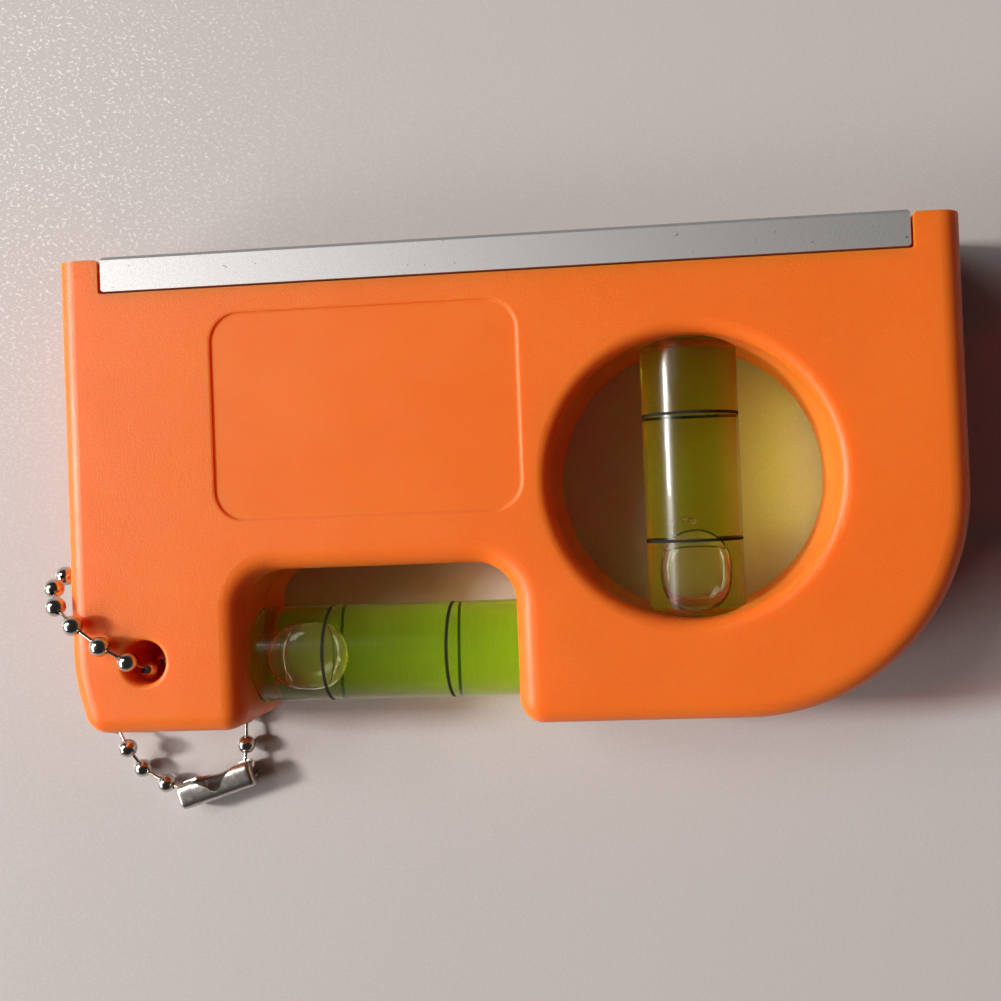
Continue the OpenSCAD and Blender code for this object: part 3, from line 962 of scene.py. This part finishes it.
    def pin(self, length: float) -> bmesh.types.BMesh:
        """Makes a pin.

        Args:
            length: Distance between the middles of its two balls.

        Returns:
            The pin, waisted between the balls.
        """
        ends = self.pin_start * self.ball_r
        heights = (ends, self.ball_r, length / 2, length - self.ball_r, length - ends)
        radii = (self.pin_r, self.pin_r, self.pin_waist * self.pin_r, self.pin_r, self.pin_r)
        return spun(list(zip(heights, radii)), self.pin_steps)

    def clasp(self) -> bmesh.types.BMesh:
        """Makes the connector.

        Returns:
            The connector: rolled sheet with turned-in ends, a slit and a wide mouth.
        """
        first, last = Vector(self.route[0]), Vector(self.route[-1])
        mesh = self.rolled_sheet((last - first).length / 2 + self.clasp_end)
        self.open_slit(mesh)
        bmesh.ops.recalc_face_normals(mesh, faces=mesh.faces)
        bmesh.ops.solidify(mesh, geom=mesh.faces[:] + mesh.edges[:] + mesh.verts[:],
                           thickness=self.sheet * MM)
        bmesh.ops.recalc_face_normals(mesh, faces=mesh.faces)
        heading = Matrix.Rotation(math.atan2(last.y - first.y, last.x - first.x), 4, "Z")
        middle = Matrix.Translation((first + last) / 2 * MM)
        bmesh.ops.transform(mesh, matrix=middle @ heading, verts=mesh.verts)
        return mesh

    def rolled_sheet(self, half: float) -> bmesh.types.BMesh:
        """Rolls the connector's sheet about X, with its two edges almost touching.

        Args:
            half: Half its length.

        Returns:
            The sheet, with no thickness.
        """
        outer = self.clasp_r - self.sheet / 2
        edge = [*quarter_round(half, outer, self.clasp_rounding, steps=6), (half, self.end_hole * outer)]
        straight = [((half - self.clasp_rounding) * step / self.clasp_rows, outer)
                    for step in range(1 - self.clasp_rows, self.clasp_rows)]
        profile = [(-along, radius) for along, radius in reversed(edge)] + straight + edge
        mesh = bmesh.new()
        points = [mesh.verts.new((along * MM, radius * MM, 0)) for along, radius in profile]
        lines = [mesh.edges.new(pair) for pair in zip(points, points[1:])]
        almost_closed = math.tau - 1e-3
        bmesh.ops.spin(mesh, geom=points + lines, axis=(1, 0, 0), cent=(0, 0, 0), angle=almost_closed,
                       steps=self.clasp_steps, use_merge=False)
        return mesh

    def open_slit(self, mesh: bmesh.types.BMesh) -> None:
        """Draws the sheet's edges apart to the slit and the mouth, and flattens its section.

        Args:
            mesh: The rolled sheet.
        """
        narrow = math.asin(self.slit / 2 / self.clasp_r)
        wide, under = math.radians(self.bite), math.radians(self.under_bite)
        for vert in mesh.verts:
            turn = math.atan2(vert.co.z, vert.co.y) % math.tau
            reach = max(0.0, 1 - abs(vert.co.x) / MM / (self.mouth / 2)) ** self.mouth_power
            start = narrow + (wide - narrow) * reach
            end = math.tau - narrow - (under - narrow) * reach
            turn = start + turn / math.tau * (end - start)
            radius = math.hypot(vert.co.y, vert.co.z)
            vert.co.y, vert.co.z = (radius * math.copysign(abs(part) ** self.squareness, part)
                                    for part in (math.cos(turn), math.sin(turn)))


@dataclass
class Vial:
    """A vial: its clear case, the liquid that fills the bore, and the bubble in it.

    Attributes:
        name: First words of its nodes' names.
        middle: Its middle.
        axis: Direction of its axis.
        bubble_body: The body that its bubble rides on.
        bubble_at: The bubble's place along the axis at rest.
        beads: Small beads of air under the bore's top, as (radius, place along the axis, place across it).
        bead_height: Height of a bead as a share of its width.
        steps: Number of steps round the case and the liquid.
        outer_r: Radius outside.
        half: Half its length.
        edge: Bevel of its ends.
        bore_half: Half the length of the bore.
        bore_r: Radius of the bore in the middle.
        bore_end_r: Radius of the bore at its ends.
        bore_rounding: Rounding of the bore's ends.
        bore_rows: Number of steps along the bore.
        ring_at: Distance of the ring grooves from the middle.
        ring_w: Width of the rings.
        groove_depth: Depth of the grooves.
        groove_gap: Room in a groove on each side of its ring.
        bubble_half: Half the bubble's length.
        bubble_side: Half its width.
        bubble_float: Height of its widest part above the axis.
        bubble_rise: How far it rises above that.
        bubble_drop: How far it reaches below that.
        bubble_bluntness: Power that blunts its ends, less than 1.
    """

    name: str
    middle: Triple
    axis: Triple
    bubble_body: Body
    bubble_at: float
    beads: list[Triple] = field(default_factory=list)
    bead_height: float = 0.8
    steps: int = 96
    outer_r: float = 4.9
    half: float = 15.5
    edge: float = 0.3
    bore_half: float = 14.1
    bore_r: float = 3.9
    bore_end_r: float = 3.65
    bore_rounding: float = 0.5
    bore_rows: int = 24
    ring_at: float = 6.3
    ring_w: float = 0.3
    groove_depth: float = 0.07
    groove_gap: float = 0.02
    bubble_half: float = 4.2
    bubble_side: float = 3.1
    bubble_float: float = 2.05
    bubble_rise: float = 1.25
    bubble_drop: float = 1.5
    bubble_bluntness: float = 0.85

    def build(self, acrylic: bpy.types.Material, liquid: bpy.types.Material,
              air: bpy.types.Material) -> None:
        """Builds the case, the liquid and the air in it.

        Args:
            acrylic: Finish of the case.
            liquid: Finish of the liquid.
            air: Finish of the bubble and the beads.
        """
        name = self.name
        tube = [f"{name}_tube", f"{name}_plug"]
        add_piece(f"{name}_case", self.case(), acrylic, Body.LEVEL, tube)
        add_piece(f"{name}_spirit", self.spirit(), liquid, Body.LEVEL, [f"{name}_liquid"])
        add_piece(f"{name}_air", self.air(), air, self.bubble_body, [f"{name}_bubble"])
        if self.beads:
            add_piece(f"{name}_beads", self.air_beads(), air, Body.LEVEL)

    def settled(self, mesh: bmesh.types.BMesh) -> bmesh.types.BMesh:
        """Moves a mesh from the vial's own frame, with Z along its axis and Y up, to the level's frame.

        Args:
            mesh: The mesh.

        Returns:
            The same mesh.
        """
        along, upright = Vector(self.axis), Vector((0, 0, 1))
        turn = Matrix((upright.cross(along), upright, along)).transposed()
        place = Matrix.Translation(Vector(self.middle) * MM) @ turn.to_4x4()
        bmesh.ops.transform(mesh, matrix=place, verts=mesh.verts)
        bmesh.ops.recalc_face_normals(mesh, faces=mesh.faces)
        return mesh

    def case(self) -> bmesh.types.BMesh:
        """Makes the case.

        Returns:
            The case, solid, with grooves for the rings and bevelled ends.
        """
        groove_r = self.outer_r - self.groove_depth
        groove_half = self.ring_w / 2 + self.groove_gap
        bevel_r, bevel_at = self.outer_r - self.edge, self.half - self.edge
        profile = [(-self.half, 0), (-self.half, bevel_r), (-bevel_at, self.outer_r)]
        for ring in (-self.ring_at, self.ring_at):
            profile += [(ring - groove_half, self.outer_r), (ring - groove_half, groove_r),
                        (ring + groove_half, groove_r), (ring + groove_half, self.outer_r)]
        profile += [(bevel_at, self.outer_r), (self.half, bevel_r), (self.half, 0)]
        return self.settled(spun(profile, self.steps))

    def spirit(self) -> bmesh.types.BMesh:
        """Makes the liquid.

        Returns:
            The liquid, a barrel that fills the bore.
        """
        swell = self.bore_r - self.bore_end_r
        straight = self.bore_half - self.bore_rounding
        places = [-1 + 2 * step / self.bore_rows for step in range(self.bore_rows + 1)]
        barrel = [(place * straight, self.bore_r - swell * place * place) for place in places]
        ends = quarter_round(self.bore_half, self.bore_end_r, self.bore_rounding, steps=5)[1:]
        profile = ([(-self.bore_half, 0)] + [(-along, radius) for along, radius in reversed(ends)]
                   + barrel + ends + [(self.bore_half, 0)])
        return self.settled(spun(profile, self.steps))

    def air(self) -> bmesh.types.BMesh:
        """Makes the bubble.

        Returns:
            The bubble, which lies flat under the top of the bore and has blunt ends.
        """
        mesh = bmesh.new()
        bmesh.ops.create_uvsphere(mesh, u_segments=64, v_segments=40, radius=1.0)
        for vert in mesh.verts:
            vert.co.x *= self.bubble_side
            vert.co.y *= self.bubble_rise if vert.co.y > 0 else self.bubble_drop
            blunt = abs(vert.co.z) ** self.bubble_bluntness
            vert.co.z = math.copysign(blunt, vert.co.z) * self.bubble_half
        place = Matrix.Translation((0, self.bubble_float * MM, self.bubble_at * MM)) @ Matrix.Scale(MM, 4)
        bmesh.ops.transform(mesh, matrix=place, verts=mesh.verts)
        return self.settled(mesh)

    def air_beads(self) -> bmesh.types.BMesh:
        """Makes the small beads of air.

        Returns:
            The beads, which cling to the top of the bore.
        """
        mesh = bmesh.new()
        flat = Matrix.Diagonal((1, self.bead_height, 1, 1))
        for radius, along, across in self.beads:
            rise = math.sqrt((self.bore_end_r - radius) ** 2 - across ** 2)
            place = Matrix.Translation(Vector((across, rise, along)) * MM)
            bead = bmesh.ops.create_icosphere(mesh, subdivisions=3, radius=radius * MM)["verts"]
            bmesh.ops.transform(mesh, matrix=place @ flat, verts=bead)
        return self.settled(mesh)


@dataclass
class LevelBody:
    """The body's shells, the base strip and the vials' rings, whose CAD shapes stay.

    Attributes:
        shells: Nodes of the shells.
        strips: Node of the base strip.
        rings: Nodes of the rings.
    """

    shells: tuple[str, ...] = ("front_shell", "back_shell")
    strips: tuple[str, ...] = ("base_strip",)
    rings: tuple[str, ...] = ("notch_vial_rings", "window_vial_rings")

    def dress(self, nodes: dict[str, bpy.types.Object]) -> None:
        """Gives the nodes their finishes.

        Args:
            nodes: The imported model's nodes by name.
        """
        finishes = {self.shells: OrangePlastic(), self.strips: SatinAluminium(), self.rings: RingInk()}
        for names, finish in finishes.items():
            material = finish.material()
            for name in names:
                for slot in nodes[name].material_slots:
                    slot.material = material
                LOG.info("%s: dressed in %s", name, material.name)


def main() -> None:
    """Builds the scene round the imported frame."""
    logging.basicConfig(level=logging.INFO, format="%(name)s: %(message)s")
    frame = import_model()
    PhotoCamera().build()
    BallChain().build()
    LevelBody().dress(frame["nodes"])
    acrylic = ClearAcrylic().material()
    # The two vials hold one liquid. The notch copy scatters more light and passes more lamp light, so it
    # renders brighter. The window copy passes less, so the light under the window vial is dimmer. These are
    # lit and shaded copies of one material.
    notch_liquid_brighter = VialLiquid("notch_liquid_brighter", passed=(0.74, 0.72, 0.48), glow=0.05)
    window_liquid_dimmer = VialLiquid("window_liquid_dimmer", passed=(0.49, 0.4, 0.22), glow=0.01)
    air = BubbleAir("bubble_air", window_liquid_dimmer).material()
    notch_vial = Vial("notch_vial", middle=(-12.95, -17.05, 7.5), axis=(1, 0, 0),
                      bubble_body=Body.NOTCH_BUBBLE, bubble_at=-8.4)
    notch_vial.build(acrylic, notch_liquid_brighter.material(), air)
    window_vial = Vial("window_vial", middle=(18.4, -0.4, 7.5), axis=(0, 1, 0),
                       bubble_body=Body.WINDOW_BUBBLE, bubble_at=-9.4,
                       beads=[(0.36, -4.4, 0.15), (0.3, -4.2, 0.85)])
    window_vial.build(acrylic, window_liquid_dimmer.material(), air)
    Studio().build()
    bpy.context.scene.view_settings.view_transform = "Standard"
    bpy.context.view_layer.update()


if __name__ == "__main__":
    main()
